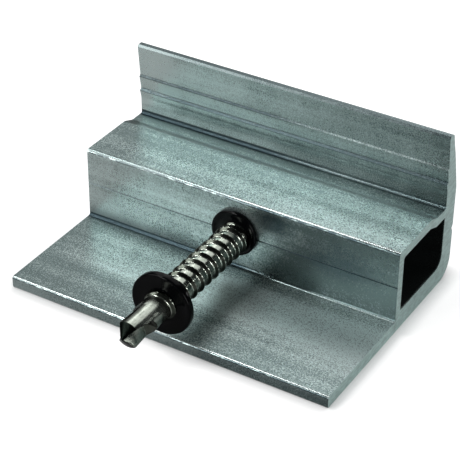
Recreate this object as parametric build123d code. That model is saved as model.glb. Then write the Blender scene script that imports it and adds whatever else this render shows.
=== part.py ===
from build123d import *
import math
import os

# Solar clamp: an extruded grip rail with a captive self-drilling screw.
# Millimetres. +Z is up, X runs along the extrusion, -Y is the side the screw points to.
# Depths in the section are measured from the front edge of the base.

# extrusion
length = 70.0
base_depth = 49.85
flange_depth = 26.1
flange_thickness = 2.5
front_wall = 1.9
back_inner = 45.6
floor_top = 4.1
seat_height = 18.05
seat_wall = 1.95
relief_start = 39.5
relief_end = 42.2
relief_drop = 1.0
relief_radius = 1.6
lip_front = 45.75
lip_height = 33.3
lip_back_start = 20.0
lip_back_curve = [(48.5, 26.0), (47.85, 28.6), (47.15, 30.8)]
lip_tip_back = 46.65
lip_tip_front = 44.85
ledge_profile = [(45.55, 26.2), (45.2, 25.9), (45.75, 22.95), (45.28, 22.6), (45.7, 20.8)]
drill_line_height = 10.25
back_line_height = 10.6
front_groove_depth = 0.14
front_groove_half = 0.14
back_groove_depth = 0.5
back_groove_half = 0.8
hole_radius = 4.0
outer_bottom_radius = 4.2
hollow_back_radius = 2.6

# screw
axis_x = 0.5
axis_height = 10.2
thread_radius = 3.35
thread_end = -4.2
point_radius = 2.75
point_cone = 1.6
point_nose = 0.25
tip_depth = -13.7
flute_radius = 2.3
flute_length = 8.0
flute_web = 0.3
flute_lean = 9.0
flute_turn = 38.0
hex_flats = 10.0
hex_corner_radius = 5.6
head_height = 5.2
head_flange_radius = 6.9
head_flange_thickness = 1.3
head_gap = 0.05

# retaining washers
wall_washer_radius = 4.9
wall_washer_thickness = 1.1
wall_washer_shift_x = -0.6
wall_washer_shift_z = 0.5
tip_washer_radius = 6.4
tip_washer_thickness = 1.5
tip_washer_face = -1.3
washer_edge = 0.3
washer_gap = 0.05

middle = base_depth / 2
standing = (Align.CENTER, Align.CENTER, Align.MIN)
hanging = (Align.CENTER, Align.CENTER, Align.MAX)


def section_outline():
    """Outer and inner edges of the extrusion's section, (depth, height) pairs."""
    relief_height = seat_height - relief_drop
    outer = [(0.0, 0.0), (base_depth, 0.0)]
    outer.append((base_depth, back_line_height - back_groove_half))
    outer.append((base_depth - back_groove_depth, back_line_height))
    outer.append((base_depth, back_line_height + back_groove_half))
    outer.append((base_depth, lip_back_start))
    outer.extend(lip_back_curve)
    outer.append((lip_tip_back, lip_height - 0.4))
    outer.append((lip_tip_back - 0.45, lip_height))
    outer.append((lip_tip_front + 0.3, lip_height))
    outer.append((lip_tip_front, lip_height - 0.45))
    outer.extend(ledge_profile)
    outer.append((lip_front, relief_height))
    outer.append((relief_end, relief_height))
    outer.append((relief_start, seat_height))
    outer.append((flange_depth, seat_height))
    outer.append((flange_depth, drill_line_height + front_groove_half))
    outer.append((flange_depth + front_groove_depth, drill_line_height))
    outer.append((flange_depth, drill_line_height - front_groove_half))
    outer.append((flange_depth, flange_thickness))
    outer.append((0.0, flange_thickness))
    hollow_front = flange_depth + front_wall
    hollow_top = seat_height - seat_wall
    inner = [(hollow_front, floor_top), (back_inner, floor_top)]
    inner.append((back_inner, hollow_top - relief_drop))
    inner.append((relief_end - 0.3, hollow_top - relief_drop))
    inner.append((relief_start - 0.3, hollow_top))
    inner.append((hollow_front, hollow_top))
    return outer, inner


def corner(face, depth, height, radius):
    """Round the one corner of a section that lies at this depth and height."""
    spot = Vector(0, depth - middle, height)
    nearest = face.vertices().sort_by_distance(spot)[0]
    return face.fillet_2d(radius, [nearest])


def section_face(points):
    """A filled section in the YZ plane from (depth, height) pairs."""
    placed = [(0.0, depth - middle, height) for depth, height in points]
    edges = Polyline(*placed, close=True)
    return Face(Wire(edges.edges()))


def clamp_profile():
    """The extrusion: base flange, hollow box, relief step and gripping lip."""
    outer, inner = section_outline()
    shell = section_face(outer)
    shell = corner(shell, base_depth, 0.0, outer_bottom_radius)
    shell = corner(shell, 0.0, flange_thickness, 0.5)
    shell = corner(shell, 0.0, 0.0, 0.3)
    shell = corner(shell, flange_depth, flange_thickness, 0.5)
    shell = corner(shell, flange_depth, seat_height, 0.7)
    shell = corner(shell, lip_front, seat_height - relief_drop, 0.4)
    shell = corner(shell, base_depth, lip_back_start, 6.0)
    shell = corner(shell, relief_start, seat_height, relief_radius)
    shell = corner(shell, relief_end, seat_height - relief_drop, relief_radius)
    hollow = section_face(inner)
    hollow = corner(hollow, back_inner, floor_top, hollow_back_radius)
    hollow = corner(hollow, flange_depth + front_wall, seat_height - seat_wall, 0.7)
    hollow = corner(hollow, flange_depth + front_wall, floor_top, 0.3)
    rail = Solid.extrude(shell, Vector(length, 0, 0))
    void = Solid.extrude(hollow, Vector(length + 4, 0, 0))
    rail = Pos(-length / 2, 0, 0) * rail
    void = Pos(-length / 2 - 2, 0, 0) * void
    hole = Rot(90, 0, 0) * Cylinder(hole_radius, base_depth)
    hole = Pos(0, 14.0, drill_line_height) * hole
    return rail - void - hole


def flute(turn, tip):
    """A chip flute of the drill point: deep at the tip, running out towards the thread."""
    start = tip - flute_length
    offset = flute_radius + flute_web + flute_length * math.tan(math.radians(flute_lean))
    cutter = Cylinder(flute_radius, flute_length * 1.5, align=standing)
    cutter += Sphere(flute_radius)
    cutter = Pos(offset, 0, start) * Rot(0, -flute_lean, 0) * cutter
    return Rot(0, 0, turn) * cutter


def screw_head():
    """Hex head on a round flange, below Z = 0, with its end edges broken."""
    flange = Cylinder(head_flange_radius, head_flange_thickness, align=hanging)
    flange = chamfer(flange.edges().filter_by(GeomType.CIRCLE).group_by(Axis.Z)[0], 0.5)
    prism = extrude(RegularPolygon(hex_flats / 2, 6, major_radius=False), -head_height)
    trim = Cylinder(hex_corner_radius, head_height, align=hanging)
    trim = chamfer(trim.edges().filter_by(GeomType.CIRCLE).group_by(Axis.Z)[0], 0.9)
    return flange + Pos(0, 0, -head_flange_thickness) * (prism & trim)


def self_drilling_screw():
    """Head, shank over the thread crests and a fluted drill point, made upright and laid along -Y."""
    bearing = base_depth + head_gap
    shank_length = bearing - thread_end
    tip = bearing - tip_depth
    shank = Cylinder(thread_radius, shank_length, align=standing)
    shank = chamfer(shank.edges().filter_by(GeomType.CIRCLE).group_by(Axis.Z)[-1], 0.55)
    body_length = tip - shank_length - point_cone
    point = Cylinder(point_radius, body_length, align=standing)
    point += Pos(0, 0, body_length) * Cone(point_radius, point_nose, point_cone, align=standing)
    screw = screw_head() + shank + Pos(0, 0, shank_length) * point
    for turn in (flute_turn, flute_turn + 180.0):
        screw -= flute(turn, tip)
    return Pos(axis_x, bearing - middle, axis_height) * Rot(90, 0, 0) * screw


def washer(radius, thickness, face, shift_x, shift_z):
    """A soft ring across the screw, its front face at this depth, its bore on the screw's axis."""
    ring = Cylinder(radius, thickness, align=hanging)
    ring = fillet(ring.edges().filter_by(GeomType.CIRCLE), washer_edge)
    ring = Pos(shift_x, shift_z, 0) * ring
    ring -= Cylinder(thread_radius, thickness * 4)
    return Pos(axis_x, face - middle, axis_height) * Rot(90, 0, 0) * ring


def wall_washer():
    """The small washer against the front wall; it sits a little off the screw's axis."""
    face = flange_depth - washer_gap - wall_washer_thickness
    return washer(wall_washer_radius, wall_washer_thickness, face, wall_washer_shift_x, wall_washer_shift_z)


def tip_washer():
    """The large washer near the drill point."""
    return washer(tip_washer_radius, tip_washer_thickness, tip_washer_face, 0.0, 0.0)


os.makedirs("parts", exist_ok=True)
for make in (clamp_profile, self_drilling_screw, wall_washer, tip_washer):
    export_step(make(), f"parts/{make.__name__}.step")
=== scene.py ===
import math

import bpy
import numpy as np
from mathutils import Matrix, Vector


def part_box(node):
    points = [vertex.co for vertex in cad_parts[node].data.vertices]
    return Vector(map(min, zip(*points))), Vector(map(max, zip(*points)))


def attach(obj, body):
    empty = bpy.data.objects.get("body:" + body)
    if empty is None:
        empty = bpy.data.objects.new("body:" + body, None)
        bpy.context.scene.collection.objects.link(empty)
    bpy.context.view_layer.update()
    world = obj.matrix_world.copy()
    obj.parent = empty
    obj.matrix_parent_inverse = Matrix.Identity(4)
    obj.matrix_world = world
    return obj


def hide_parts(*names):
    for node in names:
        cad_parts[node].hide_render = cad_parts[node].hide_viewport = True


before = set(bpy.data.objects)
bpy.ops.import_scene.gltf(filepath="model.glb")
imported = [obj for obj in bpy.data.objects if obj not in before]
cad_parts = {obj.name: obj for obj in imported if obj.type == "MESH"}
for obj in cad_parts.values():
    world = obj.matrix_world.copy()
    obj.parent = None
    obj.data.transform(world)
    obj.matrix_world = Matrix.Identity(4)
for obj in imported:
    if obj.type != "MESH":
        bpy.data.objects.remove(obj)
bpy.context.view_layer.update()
scene = bpy.context.scene
mm = 0.001
profileLow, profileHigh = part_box("clamp_profile")
screwLow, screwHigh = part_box("self_drilling_screw")
tipLow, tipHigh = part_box("tip_washer")
wallLow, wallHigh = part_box("wall_washer")
axisX = (tipLow.x + tipHigh.x) / 2       # the screw runs along -Y through here
axisZ = (tipLow.z + tipHigh.z) / 2


class Wire:                               # a socket that can stand in an expression
    def __init__(self, graph, socket):
        self.graph = graph
        self.socket = socket

    def join(self, operation, first, second):
        return self.graph.add("ShaderNodeMath", {"operation": operation}, {0: first, 1: second})[0]

    def __add__(self, other):
        return self.join("ADD", self, other)

    def __radd__(self, other):
        return self.join("ADD", other, self)

    def __sub__(self, other):
        return self.join("SUBTRACT", self, other)

    def __rsub__(self, other):
        return self.join("SUBTRACT", other, self)

    def __mul__(self, other):
        return self.join("MULTIPLY", self, other)

    def __rmul__(self, other):
        return self.join("MULTIPLY", other, self)

    def __truediv__(self, other):
        return self.join("DIVIDE", self, other)

    def __rtruediv__(self, other):
        return self.join("DIVIDE", other, self)

    def __pow__(self, other):
        return self.join("POWER", self, other)

    def __abs__(self):
        return self.join("ABSOLUTE", self, 0.0)


class Added:                              # a node whose outputs are read by name or number
    def __init__(self, graph, node):
        self.graph = graph
        self.node = node

    def __getitem__(self, key):
        return Wire(self.graph, self.node.outputs[key])


class Graph:                              # one node tree, filled through a single method
    def __init__(self, tree):
        self.tree = tree

    def add(self, kind, settings=None, sockets=None):
        node = self.tree.nodes.new(kind)
        for key, value in (settings or {}).items():
            setattr(node, key, value)
        for key, value in (sockets or {}).items():
            if isinstance(value, Wire):
                self.tree.links.new(value.socket, node.inputs[key])
            else:
                node.inputs[key].default_value = value
        return Added(self, node)

    def remap(self, value, low, high, newLow=0.0, newHigh=1.0, smooth=True):
        kind = "SMOOTHSTEP" if smooth else "LINEAR"
        sockets = {0: value, 1: low, 2: high, 3: newLow, 4: newHigh}
        return self.add("ShaderNodeMapRange", {"interpolation_type": kind}, sockets)[0]

    def fade(self, value, start, full, middle=None):
        if middle is not None:            # start and full are then distances from the middle
            value = abs(value - middle)
        return self.remap(value, start, full)

    def fades(self, value, zones):
        return {name: self.fade(value, *ends) for name, ends in zones.items()}

    def total(self, masks, amounts):      # the named masks, each times its amount, added up
        shares = [masks[name] * amount for name, amount in amounts.items()]
        return sum(shares[1:], shares[0])

    def mix(self, factor, first, second):
        sockets = {0: factor, 6: first, 7: second}
        return self.add("ShaderNodeMix", {"data_type": "RGBA"}, sockets)[2]

    def noise(self, place, stretch, scale, detail, rough):
        mapped = self.add("ShaderNodeMapping", None, {"Vector": place, "Scale": stretch})[0]
        sockets = {"Vector": mapped, "Scale": scale, "Detail": detail, "Roughness": rough}
        return self.add("ShaderNodeTexNoise", None, sockets)["Fac"]

    def noises(self, place, grains):
        return {name: self.noise(place, *values) for name, values in grains.items()}

    def bump(self, height, strength, depth):
        sockets = {"Strength": strength, "Distance": depth, "Height": height}
        return self.add("ShaderNodeBump", None, sockets)["Normal"]

    def split(self, vector):
        return self.add("ShaderNodeSeparateXYZ", None, {0: vector})

    def place(self):
        return self.add("ShaderNodeTexCoord")["Object"]

    def facing(self):
        return self.split(self.add("ShaderNodeNewGeometry")["Normal"])


def newMaterial(name):
    material = bpy.data.materials.new(name)
    material.use_nodes = True
    material.node_tree.nodes.clear()
    return material, Graph(material.node_tree)


def closeMaterial(graph, sockets):
    shader = graph.add("ShaderNodeBsdfPrincipled", None, sockets)["BSDF"]
    graph.add("ShaderNodeOutputMaterial", None, {"Surface": shader})


def atLeast(mask, least):                 # lifts a mask where it is low
    return mask * (1 - least) + least


# The clamp keeps its CAD shape and gets a mill finish with wear and dirt in places, and painted light and
# shade on its zones, edges, creases and inside the tube.
# A zone says where it starts and where it is full, in mm. With a third number, the
# middle, the first two are distances from it.
clamp = {
    "dark": (0.150, 0.205, 0.202, 1), "light": (0.70, 0.825, 0.81, 1), "toneRange": (-0.45, 0.58),
    "sawnDark": (0.53, 0.69, 0.665, 1), "sawnLight": (0.73, 0.93, 0.90, 1),
    # grime is both dirt and painted shade; its blue tint paints a reflection at the wall's foot
    "worn": (0.86, 0.90, 0.89, 1), "grime": (0.035, 0.058, 0.068, 1), "inside": (0.048, 0.0576, 0.0576, 1),
    "metallic": 0.80, "smoothest": 0.23, "roughest": 0.41, "sawnRoughness": 0.18, "wornPolish": 0.06,
    "bumpStrength": 0.5, "bumpDepth": 0.05 * mm,
    "grain": {                            # stretch, scale, detail and roughness of each noise
        "cloud": ((0.6, 1, 1), 70.0, 5.0, 0.6),
        "streak": ((1, 0.16, 0.3), 420.0, 4.0, 0.6),
        "speck": ((1, 1, 1), 3900.0, 3.0, 0.75),
        "lines": ((0.012, 1, 1), 900.0, 2.0, 0.6),
        "band": ((0.03, 1, 1), 260.0, 2.0, 0.5),
        "sawMarks": ((1, 0.35, 1), 1400.0, 3.0, 0.7),
        "scuffs": ((0.35, 1, 1), 1500.0, 3.0, 0.6),
    },
    "across": {                           # from the middle to the right
        "right": (1.0, 14.0), "left": (12.0, -6.0), "leftEnd": (-13.0, -27.0), "footLeft": (-36.0, -20.0),
        "lipLeft": (-24.0, -31.0), "lipRight": (20.0, 33.0), "lipFoot": (-34.0, -30.0),
    },
    "behind": {                           # from the front edge to the back
        "frontFace": (0.30, 0.15), "baseEdge": (1.5, 1.0), "footFront": (10.0, 4.0),
        "footMiddle": (8.0, 16.0), "footBack": (22.8, 25.6), "junction": (0.7, 0.3, 26.0),
        "wall": (0.3, 0.15, 26.1), "tunnel": (27.0, 28.2), "tubeEdge": (28.0, 27.5),
        "relief": (37.5, 41.0), "reliefEnd": (46.5, 46.0), "reliefLine": (0.6, 0.3, 45.4),
        "lip": (44.4, 44.7),
    },
    "above": {                            # from the base up
        "foot": (3.2, 2.9), "junction": (3.4, 2.9), "junctionLow": (2.3, 2.45),
        "wallFoot": (6.0, 3.6), "wallFootLow": (2.2, 2.5), "tunnel": (3.0, 4.0), "tunnelRoof": (17.0, 16.2),
        "line": (0.22, 0.10, 10.25), "dullEdge": (10.0, 12.0), "tubeEdge": (15.0, 16.0),
        "reliefLine": (0.7, 0.4, 17.4), "lip": (19.0, 20.0), "lipFoot": (22.0, 21.2),
        "lowLedge": (0.42, 0.22, 22.75), "highLedge": (0.34, 0.18, 26.0), "lipEdge": (32.5, 32.8),
    },
    "tilt": {                             # how far a face looks up, from 0 to 1
        "level": (0.6, 0.9), "rounded": (0.66, 0.80), "roundedTop": (0.99, 0.94),
        "scuffed": (0.03, 0.14), "scuffedTop": (0.74, 0.60), "lipEdge": (0.05, 0.2),
    },
    "turned": {"lipSide": (0.4, 0.2), "frontFace": (-0.80, -0.95)},     # how far it looks back
    "sawn": (0.90, 0.97), "pits": (0.50, 0.38), "scuffs": (0.40, 0.50), "sawMarks": (0.3, 0.7),
    "footEnd": (25.0, 21.5), "footBend": 1.5, "tunnelBack": (2.6, 3.6), "tunnelEnd": (0.05, 0.4),
    "rightSide": 0.15, "footLeftEnd": 0.25, "reliefRight": 0.6,         # what is left of a mask there
    "grease": {                           # painted shadow of the screw and washer on the wall; from the screw: right, up, sideways weight, start, full, strength
        "besideWasher": (7.5, 5.0, 0.5, 4.5, 1.0, 0.80),
        "farRight": (22.0, 1.2, 0.3, 6.5, 1.5, 0.55),
    },
    "grainTones": {"cloud": 1.1, "streak": 0.35, "lines": 0.5, "band": 1.1, "speck": 2.4},
    "tones": {                            # painted light and shade by zone; levelSpeck alone is the speckle's own contrast on level faces
        "levelSpeck": 2.2, "relief": -0.60, "rightward": -0.34, "levelRightward": 0.58, "level": -0.13,
        "foot": -0.05, "footMiddle": 0.50, "footMiddleRight": 0.05, "footFront": -0.24,
        "wallLeft": 0.16, "wallRight": -0.26,
        "lip": 0.17, "lipLeft": 0.45, "lipRight": 0.14, "lipFoot": -0.45,
    },
    "dirt": {                             # the grime colour: dirt on pits and scuffs; painted screw shadow; painted shade on the wall's right, the foot's back, the groove line, the junction, the ledges and the relief line; painted reflection at the wall's foot; lipEdge darkens the lip's top
        "grease": 1.0, "pits": 1.0, "wallRight": 0.1, "scuffed": 0.8, "wallFoot": 0.60, "footBack": 0.42,
        "line": 0.75, "lipEdge": 0.6, "junction": 0.85, "lowLedge": 0.8, "highLedge": 0.8,
        "reliefLine": 1.0,
    },
    # the three amounts below: wear with a painted highlight on the rounded edges, painted shade on the top
    # edge towards the left, painted shade on the front face
    "wornEdges": 0.4, "dullEdges": 0.75, "grimyFront": 0.35,
}


# Painted shadow of the screw and washer on the wall, laid on in the grime colour.
def screwShadowPatches(graph, spot):
    patches = []
    for right, up, weight, start, full, strength in clamp["grease"].values():
        sideways = (spot["X"] - axisX) / mm - right
        upward = (spot["Z"] - axisZ) / mm - up
        reach = (sideways * sideways * weight + upward * upward) ** 0.5
        patches.append(graph.fade(reach, start, full) * strength)
    return sum(patches[1:], patches[0])


def clampMasks(graph, place, speck, scuffs):
    spot, facing = graph.split(place), graph.facing()
    depth = (spot["Y"] - profileLow.y) / mm
    fromBack = (profileHigh.y - spot["Y"]) / mm
    fromEnd = (profileHigh.x - abs(spot["X"])) / mm
    across = graph.fades(spot["X"] / mm, clamp["across"])
    behind = graph.fades(depth, clamp["behind"])
    above = graph.fades(spot["Z"] / mm, clamp["above"])
    tilt = graph.fades(facing["Z"], clamp["tilt"])
    turned = graph.fades(facing["Y"], clamp["turned"])
    level, right, left = tilt["level"], across["right"], atLeast(across["left"], clamp["rightSide"])
    sawn = graph.fade(abs(facing["X"]), *clamp["sawn"])
    uncut = 1 - sawn
    edges = behind["baseEdge"] + behind["tubeEdge"] * above["tubeEdge"]
    rounded = tilt["rounded"] * tilt["roundedTop"] * edges
    foot = above["foot"] * level
    wall = behind["wall"]
    lip = behind["lip"] * above["lip"]
    lipSide = behind["lip"] * turned["lipSide"] * uncut
    footEnd = graph.fade(depth + right * clamp["footBend"], *clamp["footEnd"])
    footMiddle = behind["footMiddle"] * foot * footEnd * atLeast(across["footLeft"], clamp["footLeftEnd"])
    rightward = spot["X"] / profileHigh.x
    return {
        "sawn": sawn, "rounded": rounded, "dullEdge": rounded * left * above["dullEdge"],
        "line": above["line"] * uncut, "level": level, "levelSpeck": (speck - 0.5) * level,
        "rightward": rightward, "levelRightward": rightward * level,
        "relief": behind["relief"] * behind["reliefEnd"] * level,
        "reliefLine": (behind["reliefLine"] * above["reliefLine"] * uncut
                       * atLeast(left, clamp["reliefRight"])),
        "foot": foot, "footFront": behind["footFront"] * foot * right,
        "footMiddle": footMiddle, "footMiddleRight": footMiddle * right,
        "footBack": behind["footBack"] * foot * left,
        "pits": graph.fade(speck, *clamp["pits"]) * footMiddle * (right * 0.30 + 0.12),
        "frontFace": turned["frontFace"] * behind["frontFace"],
        "scuffed": tilt["scuffed"] * tilt["scuffedTop"] * edges * graph.fade(scuffs, *clamp["scuffs"]),
        "wallLeft": wall * across["leftEnd"], "wallRight": wall * right,
        "wallFoot": wall * above["wallFoot"] * above["wallFootLow"] * left,
        "junction": behind["junction"] * above["junction"] * above["junctionLow"] * left,
        "grease": screwShadowPatches(graph, spot) * wall,
        "lip": lip, "lipLeft": across["lipLeft"] * lip, "lipRight": across["lipRight"] * lip,
        "lipFoot": above["lipFoot"] * lip * across["lipFoot"] * atLeast(across["left"], 1 / 3),
        "lipEdge": above["lipEdge"] * tilt["lipEdge"],
        "lowLedge": above["lowLedge"] * lipSide, "highLedge": above["highLedge"] * lipSide * left,
        "tunnel": (behind["tunnel"] * graph.fade(fromBack, *clamp["tunnelBack"]) * above["tunnel"]
                   * above["tunnelRoof"] * graph.fade(fromEnd, *clamp["tunnelEnd"])),
    }


def millAluminium():
    material, graph = newMaterial("millAluminium")
    place = graph.place()
    grain = graph.noises(place, clamp["grain"])
    mask = clampMasks(graph, place, grain["speck"], grain["scuffs"])
    centred = {name: grain[name] - 0.5 for name in clamp["grainTones"]}
    # the grain's own tones, plus painted light and shade by zone
    mottleAndPaintedLight = graph.total(centred, clamp["grainTones"]) + graph.total(mask, clamp["tones"])
    tone = graph.remap(mottleAndPaintedLight, *clamp["toneRange"], smooth=False)
    skin = graph.mix(tone, clamp["dark"], clamp["light"])
    sawMarks = graph.fade(grain["sawMarks"], *clamp["sawMarks"])
    sawn = graph.mix(sawMarks, clamp["sawnDark"], clamp["sawnLight"])
    layers = (
        (mask["sawn"], sawn),
        # wear, and a painted highlight, on the rounded edges
        (mask["rounded"] * (1 - mask["line"]) * clamp["wornEdges"], clamp["worn"]),
        # painted shade dimming the highlight on the tube's top edge towards the left
        (mask["dullEdge"] * clamp["dullEdges"], clamp["dark"]),
        # painted shade on the base's front face
        (mask["frontFace"] * clamp["grimyFront"], clamp["grime"]),
        # dirt on pits and scuffs, with painted shadow, shade and reflection on the other zones of the table
        (graph.total(mask, clamp["dirt"]), clamp["grime"]),
        # painted shade on the tube's inner walls
        (mask["tunnel"], clamp["inside"]),
    )
    for amount, color in layers:
        skin = graph.mix(amount, skin, color)
    uneven = grain["speck"] * 0.5 + grain["cloud"] * 0.5
    rough = graph.remap(uneven, 0.3, 0.7, clamp["smoothest"], clamp["roughest"])
    rough = rough + mask["sawn"] * clamp["sawnRoughness"] - mask["rounded"] * clamp["wornPolish"]
    bump = graph.bump(grain["lines"] * 0.8 + grain["speck"] * 0.5, clamp["bumpStrength"], clamp["bumpDepth"])
    closeMaterial(graph, {"Base Color": skin, "Metallic": clamp["metallic"], "Roughness": rough,
                          "Normal": bump})
    return material


aluminium = millAluminium()
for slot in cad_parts["clamp_profile"].material_slots:
    slot.material = aluminium
print("clamp finished")


def sweptMesh(name, rings, closed, material, crease):
    rows, columns = rings.shape[0], rings.shape[1]   # rings: rows x columns x 3, in metres
    points = [tuple(point) for point in rings.reshape(-1, 3)]
    faces = []
    for row in range(rows if closed else rows - 1):
        after = (row + 1) % rows
        for column in range(columns):
            beside = (column + 1) % columns
            faces.append((row * columns + column, row * columns + beside,
                          after * columns + beside, after * columns + column))
    if not closed:                        # a pole closes each end
        for row, turn in ((0, -1), (rows - 1, 1)):
            pole = len(points)
            points.append(tuple(rings[row].mean(axis=0)))
            for column in range(columns):
                pair = (row * columns + column, row * columns + (column + 1) % columns)
                faces.append((*pair[::turn], pole))
    mesh = bpy.data.meshes.new(name)
    mesh.from_pydata(points, [], faces)
    mesh.update()
    mesh.shade_smooth()
    mesh.set_sharp_from_angle(angle=math.radians(crease))
    mesh.materials.append(material)
    piece = bpy.data.objects.new(name, mesh)
    scene.collection.objects.link(piece)
    return piece


screw = {
    "pitch": 2.5 * mm, "crestRadius": 3.33 * mm, "rootRadius": 2.70 * mm, "threadStop": 53.6 * mm,
    "crestWidth": 0.05, "flankWidth": 0.47, "fadeLength": 2.2 * mm, "fadeEnd": 0.2 * mm,
    "threadColumns": 72, "threadRows": 520, "threadCrease": 35.0, "crease": 32.0,
    "pointRadius": 2.75 * mm, "pointLength": 9.5 * mm, "coneLength": 1.8 * mm, "noseRadius": 0.2 * mm,
    "pointOverlap": 0.6 * mm, "coneStep": 0.02 * mm, "bodyRings": 70, "coneRings": 18, "pointColumns": 160,
    "fluteLength": 6.0 * mm, "fluteFade": 1.8 * mm, "fluteCurve": 1.6, "fluteCut": 0.20 * mm,
    "fluteBack": 0.30 * mm, "fluteTurn": 1.0, "fluteOpening": 107.0, "fluteTwist": -3.5,
    "flatsWidth": 10.0 * mm, "headHeight": 5.2 * mm, "headColumns": 144,
    "crownRadius": 5.65 * mm, "crownHeight": 0.9 * mm, "crownSlope": 1.3, "crownRings": 6,
    "flangeThickness": 1.3 * mm, "flangeRadius": 6.85 * mm, "flangeEdge": 0.75 * mm, "flangeSlope": 2.6,
    "edgeBreak": 0.25 * mm, "flangeRings": (3.7, 1.31, 1.29, 1.2, 1.0, 0.75, 0.25, 0.12, 0.0),
    "dark": (0.32, 0.36, 0.31, 1), "light": (0.65, 0.705, 0.62, 1), "smoothest": 0.13, "roughest": 0.27,
    # painted shade colours for the screw: the first for the flanks, the underside and the point's sides, the
    # second for the cone
    "oxide": (0.030, 0.036, 0.026, 1), "burnt": (0.007, 0.010, 0.008, 1),
    "bumpStrength": 0.25, "bumpDepth": 0.02 * mm,
    "grain": {                            # stretch, scale, detail and roughness of each noise
        "grime": ((1, 1, 1), 520.0, 3.0, 0.5), "drawn": ((1, 0.15, 1), 2600.0, 2.0, 0.5),
    },
    "fromAxis": {"root": (2.76, 2.86), "crest": (3.34, 3.26)},         # zones in mm, as in clamp
    "fromTip": {"cone": (2.2, 2.0), "runOut": (3.0, 3.6), "point": (8.4, 7.8)},
    "turned": {"cone": (-0.72, -0.82), "runOut": (-0.12, -0.35)},       # how far a face looks back
    "underside": (-0.10, -0.45), "leftSide": (0.04, -0.12), "toneRange": (0.34, 0.62),
    "stained": 30.0 * mm,                 # behind the clamp's front edge, where the painted shade on the thread is full
    # painted shade amounts: on the thread's flanks; under the thread, on the point's run-out and on its left
    # side
    "oxidised": {"flank": 0.85}, "burnished": {"underside": 0.8, "runOut": 0.85, "leftSide": 0.8},
}
bearingY = screwHigh.y - screw["headHeight"] - screw["flangeThickness"]
tipDepth = bearingY - screwLow.y
headTop = screw["headHeight"] + screw["flangeThickness"]


def brightSteel():
    material, graph = newMaterial("brightSteel")
    place = graph.place()
    grain = graph.noises(place, screw["grain"])
    tone = graph.fade(grain["grime"] * 0.7 + grain["drawn"] * 0.3, *screw["toneRange"])
    spot, facing = graph.split(place), graph.facing()
    sideways, upward = (spot["X"] - axisX) / mm, (spot["Z"] - axisZ) / mm
    fromAxis = graph.fades((sideways * sideways + upward * upward) ** 0.5, screw["fromAxis"])
    fromTip = graph.fades((spot["Y"] - screwLow.y) / mm, screw["fromTip"])
    turned = graph.fades(facing["Y"], screw["turned"])
    inFront = graph.fade(spot["Y"], profileHigh.y, profileLow.y + screw["stained"])
    mask = {
        "flank": fromAxis["root"] * fromAxis["crest"] * inFront,
        "underside": graph.fade(facing["Z"], *screw["underside"]) * inFront,
        "runOut": turned["runOut"] * fromTip["runOut"] * fromTip["point"],
        "leftSide": graph.fade(facing["X"], *screw["leftSide"]) * fromTip["point"],
    }
    skin = graph.mix(tone, screw["dark"], screw["light"])
    # painted shade on the thread's flanks
    skin = graph.mix(graph.total(mask, screw["oxidised"]), skin, screw["oxide"])
    # painted shade under the thread, on the point's run-out and on its left side
    skin = graph.mix(graph.total(mask, screw["burnished"]), skin, screw["oxide"])
    # painted shade on the point's cone facets
    skin = graph.mix(turned["cone"] * fromTip["cone"], skin, screw["burnt"])
    rough = graph.remap(grain["grime"], 0.3, 0.7, screw["smoothest"], screw["roughest"])
    bump = graph.bump(grain["drawn"], screw["bumpStrength"], screw["bumpDepth"])
    closeMaterial(graph, {"Base Color": skin, "Metallic": 1.0, "Roughness": rough, "Normal": bump})
    return material


def threadTree():
    tree = bpy.data.node_groups.new("cutThread", "GeometryNodeTree")
    for name in ("Crest Radius", "Root Radius", "Crest Width", "Flank Width", "Pitch", "Length",
                 "Fade Length", "Fade End"):
        tree.interface.new_socket(name, in_out="INPUT", socket_type="NodeSocketFloat")
    tree.interface.new_socket("Material", in_out="INPUT", socket_type="NodeSocketMaterial")
    tree.interface.new_socket("Geometry", in_out="OUTPUT", socket_type="NodeSocketGeometry")
    graph = Graph(tree)
    given = graph.add("NodeGroupInput")
    stock = graph.add("GeometryNodeMeshCylinder", {"fill_type": "TRIANGLE_FAN"},
                      {"Vertices": screw["threadColumns"], "Side Segments": screw["threadRows"],
                       "Radius": given["Crest Radius"], "Depth": given["Length"]})
    spot = graph.split(graph.add("GeometryNodeInputPosition")[0])
    angle = graph.add("ShaderNodeMath", {"operation": "ARCTAN2"}, {0: spot["Y"], 1: spot["X"]})[0]
    turn = angle / (2 * math.pi)
    depth = spot["Z"] + given["Length"] * 0.5
    turns = depth / given["Pitch"] - turn + 8.0      # whole turns are added so that it stays above 0
    phase = graph.add("ShaderNodeMath", {"operation": "FRACT"}, {0: turns})[0]
    fromCrest = abs(phase - 0.5) * 2.0
    height = graph.remap(fromCrest, given["Crest Width"], given["Flank Width"], 1.0, 0.0, smooth=False)
    fadeStart, fadeEnd = given["Length"] - given["Fade Length"], given["Length"] - given["Fade End"]
    height = height * graph.remap(depth, fadeStart, fadeEnd, 1.0, 0.0)
    rise = given["Crest Radius"] - given["Root Radius"]
    cut = (given["Root Radius"] + rise * height) / given["Crest Radius"]
    sockets = {0: spot["X"] * cut + axisX, 1: bearingY - depth, 2: spot["Y"] * cut + axisZ}
    placed = graph.add("ShaderNodeCombineXYZ", None, sockets)[0]
    cutMesh = graph.add("GeometryNodeSetPosition", None, {"Geometry": stock["Mesh"], "Position": placed})[0]
    smooth = graph.add("GeometryNodeSetShadeSmooth", None, {"Geometry": cutMesh})[0]
    whole = graph.add("GeometryNodeRealizeInstances", None, {"Geometry": smooth})[0]
    sockets = {"Geometry": whole, "Material": given["Material"]}
    dressed = graph.add("GeometryNodeSetMaterial", None, sockets)[0]
    graph.add("NodeGroupOutput", None, {0: dressed})
    return tree


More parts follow.
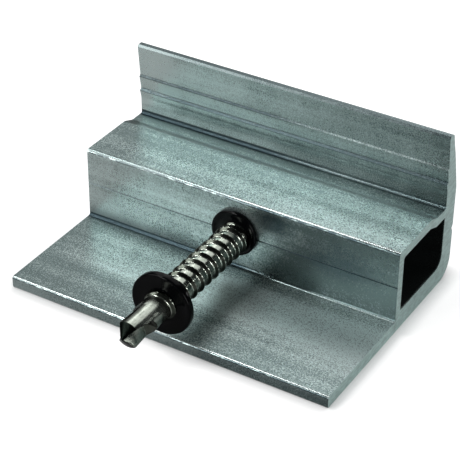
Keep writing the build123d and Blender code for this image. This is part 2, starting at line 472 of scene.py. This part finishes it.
def makeThread():
    holder = bpy.data.objects.new("threadHolder", bpy.data.meshes.new("threadHolder"))
    scene.collection.objects.link(holder)
    modifier = holder.modifiers.new("thread", "NODES")
    modifier.node_group = threadTree()
    values = {"Crest Radius": screw["crestRadius"], "Root Radius": screw["rootRadius"],
              "Crest Width": screw["crestWidth"], "Flank Width": screw["flankWidth"],
              "Pitch": screw["pitch"], "Length": screw["threadStop"], "Fade Length": screw["fadeLength"],
              "Fade End": screw["fadeEnd"], "Material": steel}
    for socket in modifier.node_group.interface.items_tree:
        if socket.name in values:
            modifier[socket.identifier] = values[socket.name]
    depsgraph = bpy.context.evaluated_depsgraph_get()
    mesh = bpy.data.meshes.new_from_object(holder.evaluated_get(depsgraph))
    mesh.set_sharp_from_angle(angle=math.radians(screw["threadCrease"]))
    bpy.data.objects.remove(holder)       # its modifier goes with it
    thread = bpy.data.objects.new("screw_thread", mesh)
    scene.collection.objects.link(thread)
    return thread


def turnedPiece(name, depths, radiusAt, columns):
    angle = np.linspace(0, 2 * math.pi, columns, endpoint=False)[None, :]
    depth = np.asarray(depths, float)[:, None]       # in front of the head's bearing face
    radius = radiusAt(angle, depth)
    x = axisX + radius * np.cos(angle)
    z = axisZ + radius * np.sin(angle)
    rings = np.stack(np.broadcast_arrays(x, bearingY - depth, z), axis=-1)
    return sweptMesh(name, rings, False, steel, screw["crease"])


def pointRadiusAt(angle, depth):
    fromTip = tipDepth - depth
    body, nose = screw["pointRadius"], screw["noseRadius"]
    cone = nose + (body - nose) * np.clip(fromTip / screw["coneLength"], 0, 1)
    radius = np.broadcast_to(cone, np.broadcast_shapes(angle.shape, depth.shape)).copy()
    runOut = np.clip((fromTip - screw["fluteLength"]) / screw["fluteFade"], 0, 1)
    runOut = body * runOut ** screw["fluteCurve"]
    spread = math.radians(90 - screw["fluteOpening"] / 2)
    twist = math.radians(screw["fluteTwist"]) * fromTip / mm
    glancing = 0.02                       # past this a ray no longer meets the flute's face
    for side in (0.0, math.pi):           # two flutes, back to back
        middle = math.radians(screw["fluteTurn"]) + twist + side
        cutSide = np.cos(angle - middle + spread)
        backSide = np.cos(angle - middle - spread)
        inNotch = (cutSide > glancing) & (backSide > glancing)
        toCut = (screw["fluteCut"] + runOut) / np.where(inNotch, cutSide, 1)
        toBack = (screw["fluteBack"] + runOut) / np.where(inNotch, backSide, 1)
        radius = np.where(inNotch, np.minimum(radius, np.maximum(toCut, toBack)), radius)
    return radius


def makePoint():
    start = tipDepth - screw["pointLength"] - screw["pointOverlap"]
    coneStart = tipDepth - screw["coneLength"]
    body = np.linspace(start, coneStart, screw["bodyRings"])
    cone = np.linspace(coneStart + screw["coneStep"], tipDepth, screw["coneRings"])
    return turnedPiece("screw_point", np.concatenate([body, cone]), pointRadiusAt, screw["pointColumns"])


def headRadiusAt(angle, depth):
    above = -depth                        # distance behind the bearing face
    flat = (angle + math.pi / 6) % (math.pi / 3) - math.pi / 6
    hexagon = screw["flatsWidth"] / 2 / np.cos(flat)
    inCrown = np.clip(above - (headTop - screw["crownHeight"]), 0, 1)
    hexagon = np.minimum(hexagon, screw["crownRadius"] - inCrown * screw["crownSlope"])
    skirt = screw["flangeThickness"]
    slope = screw["flangeRadius"] - np.clip(above - screw["flangeEdge"], 0, 1) * screw["flangeSlope"]
    edge = screw["edgeBreak"] * np.clip(1 - above / screw["edgeBreak"], 0, 1)
    return np.where(above < skirt, np.maximum(slope - edge, hexagon * (above > skirt * 0.9)), hexagon)


def makeHead():
    crown = np.linspace(headTop, headTop - screw["crownHeight"], screw["crownRings"])
    flange = np.array(screw["flangeRings"]) * mm
    return turnedPiece("screw_head", -np.concatenate([crown, flange]), headRadiusAt, screw["headColumns"])


steel = brightSteel()
thread = makeThread()
point = makePoint()
head = makeHead()
for piece in (thread, point, head):
    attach(piece, "screw")
    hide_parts("self_drilling_screw")
print("screw made")


washers = {
    "bore": 3.05 * mm, "edge": 0.32 * mm, "edgeSteps": 5, "boreEdge": 0.4, "columns": 96, "crease": 50.0,
    "flat": (0.6, 0.05),                  # rings on the back face, as shares of the way from bore to rim
    "sag": 0.16 * mm, "sagging": ((0.06, 0.0), (0.2, 0.5), (0.45, 1.0), (0.75, 0.4)),
    "color": (0.0008, 0.0009, 0.0012, 1), "dusty": (0.0022, 0.0025, 0.0030, 1),
    "smoothest": 0.07, "roughest": 0.24, "specular": 0.10, "bumpStrength": 0.2, "bumpDepth": 0.04 * mm,
    "grain": ((1, 1, 1), 1800.0, 3.0, 0.6),
}


def softRubber():
    material, graph = newMaterial("softRubber")
    grain = graph.noise(graph.place(), *washers["grain"])
    skin = graph.mix(grain, washers["color"], washers["dusty"])
    rough = graph.remap(grain, 0.3, 0.7, washers["smoothest"], washers["roughest"])
    bump = graph.bump(grain, washers["bumpStrength"], washers["bumpDepth"])
    closeMaterial(graph, {"Base Color": skin, "Roughness": rough, "Specular IOR Level": washers["specular"],
                          "Normal": bump})
    return material


def washerOutline(low, high):             # each point: share of the way to the rim, set-in, place along Y
    edge, boreEdge = washers["edge"], washers["edge"] * washers["boreEdge"]
    turns = np.linspace(0, math.pi / 2, washers["edgeSteps"])
    back = [(1.0, edge * (1 - math.cos(turn)), high.y - edge + edge * math.sin(turn)) for turn in turns]
    back += [(share, 0.0, high.y) for share in washers["flat"]]
    bore = [(0.0, 0.0, high.y - edge), (0.0, 0.0, low.y + boreEdge)]
    front = [(share, 0.0, low.y + washers["sag"] * dip) for share, dip in washers["sagging"]]
    front += [(1.0, edge * (1 - math.sin(turn)), low.y + edge - edge * math.cos(turn)) for turn in turns]
    return back + bore + front


def makeRing(name, low, high):            # the bore follows the screw, the rim its own middle
    centerX, centerZ = (low.x + high.x) / 2, (low.z + high.z) / 2
    rim = (high.x - low.x) / 2
    angle = np.linspace(0, 2 * math.pi, washers["columns"], endpoint=False)
    innerX = axisX + washers["bore"] * np.cos(angle)
    innerZ = axisZ + washers["bore"] * np.sin(angle)
    rings = []
    for share, inset, y in washerOutline(low, high):
        x = innerX + (centerX + (rim - inset) * np.cos(angle) - innerX) * share
        z = innerZ + (centerZ + (rim - inset) * np.sin(angle) - innerZ) * share
        rings.append(np.stack([x, np.full_like(x, y), z], axis=-1))
    piece = sweptMesh(name, np.array(rings), True, rubber, washers["crease"])
    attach(piece, "screw")
    return piece


rubber = softRubber()
wallRing = makeRing("washer_at_wall", wallLow, wallHigh)
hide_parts("wall_washer")
tipRing = makeRing("washer_at_tip", tipLow, tipHigh)
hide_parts("tip_washer")
print("washers made")


view = {
    "azimuth": 31.1, "elevation": 33.7, "roll": 0.5, "distance": 314.0 * mm,
    "panRight": 12.5 * mm, "panUp": 21.4 * mm, "lens": 131.8, "sensorWidth": 36.0,
}


def makeCamera():
    azimuth, elevation = math.radians(view["azimuth"]), math.radians(view["elevation"])
    back = Vector((math.sin(azimuth) * math.cos(elevation), -math.cos(azimuth) * math.cos(elevation),
                   math.sin(elevation)))
    right = Vector((0, 0, 1)).cross(back).normalized()
    up = back.cross(right)
    roll = math.radians(view["roll"])
    right, up = right * math.cos(roll) + up * math.sin(roll), up * math.cos(roll) - right * math.sin(roll)
    data = bpy.data.cameras.new("camera")
    data.lens = view["lens"]
    data.sensor_width = view["sensorWidth"]
    camera = bpy.data.objects.new("camera", data)
    scene.collection.objects.link(camera)
    aim = Vector((0, profileLow.y, profileLow.z))
    eye = aim + back * view["distance"] + right * view["panRight"] + up * view["panUp"]
    turn = Matrix((right, up, back)).transposed()
    camera.matrix_world = Matrix.Translation(eye) @ turn.to_4x4()
    scene.camera = camera


studio = {
    "sky": (0.86, 0.94, 1.0, 1), "skyStrength": 0.02,
    "floorGlow": 0.78, "floorSeen": 0.60, "floorMirrored": 0.42, "floorHalf": 3.0, "floorGap": 0.02 * mm,
    "shadowReach": 3.6 * mm, "shadowCurve": 1.6,
    "panelTarget": (0, 0, 0.01),
    "panels": {                           # place, width, height, power
        "frontLeft": ((-0.47, -0.38, 0.36), 0.36, 0.32, 1.25),
        "leftHigh": ((-0.28, -0.05, 0.55), 0.16, 0.16, 1.10),
        "frontLow": ((-0.20, -0.47, 0.14), 0.11, 0.09, 0.90),
        "overBack": ((-0.02, 0.46, 0.44), 0.52, 0.40, 0.60),
        "backLeft": ((-0.30, 0.50, 0.40), 0.40, 0.36, 0.40),
        "rear": ((0.30, 0.58, 0.10), 0.40, 0.20, 0.90),
        "right": ((0.55, -0.10, 0.16), 0.24, 0.30, 1.35),
    },
}


def makePanel(name, place, width, height, power):
    data = bpy.data.lights.new(name, "AREA")
    data.shape = "RECTANGLE"
    data.size = width
    data.size_y = height
    data.energy = power
    panel = bpy.data.objects.new(name, data)
    scene.collection.objects.link(panel)
    panel.location = place
    panel.visible_camera = False
    direction = Vector(studio["panelTarget"]) - panel.location
    panel.rotation_euler = direction.to_track_quat("-Z", "Y").to_euler()


def paleFloor():                          # pale to the eye, dim in what the metal mirrors
    material, graph = newMaterial("floor")
    seen, mirrored = studio["floorSeen"], studio["floorMirrored"]
    clear = graph.add("ShaderNodeAmbientOcclusion", None, {"Distance": studio["shadowReach"]})["AO"]
    glow = clear ** studio["shadowCurve"] * studio["floorGlow"]
    glow = graph.add("ShaderNodeEmission", None, {"Color": (1, 1, 1, 1), "Strength": glow})[0]
    pale = graph.add("ShaderNodeBsdfDiffuse", None, {"Color": (seen, seen, seen, 1)})[0]
    lit = graph.add("ShaderNodeAddShader", None, {0: glow, 1: pale})[0]
    dim = graph.add("ShaderNodeBsdfDiffuse", None, {"Color": (mirrored, mirrored, mirrored, 1)})[0]
    eye = graph.add("ShaderNodeLightPath")["Is Camera Ray"]
    shown = graph.add("ShaderNodeMixShader", None, {0: eye, 1: dim, 2: lit})[0]
    graph.add("ShaderNodeOutputMaterial", None, {"Surface": shown})
    return material


def makeFloor():
    mesh = bpy.data.meshes.new("floor")
    half, level = studio["floorHalf"], profileLow.z - studio["floorGap"]
    corners = [(-half, -half, level), (half, -half, level), (half, half, level), (-half, half, level)]
    mesh.from_pydata(corners, [], [(0, 1, 2, 3)])
    mesh.materials.append(paleFloor())
    floor = bpy.data.objects.new("floor", mesh)
    scene.collection.objects.link(floor)


def makeSky():
    world = bpy.data.worlds.new("studio")
    world.use_nodes = True
    background = world.node_tree.nodes["Background"]
    background.inputs["Color"].default_value = studio["sky"]
    background.inputs["Strength"].default_value = studio["skyStrength"]
    scene.world = world


makeCamera()
makeFloor()
for panelName, (place, width, height, power) in studio["panels"].items():
    makePanel(panelName, place, width, height, power)
makeSky()
scene.view_settings.view_transform = "Standard"
print("studio made")
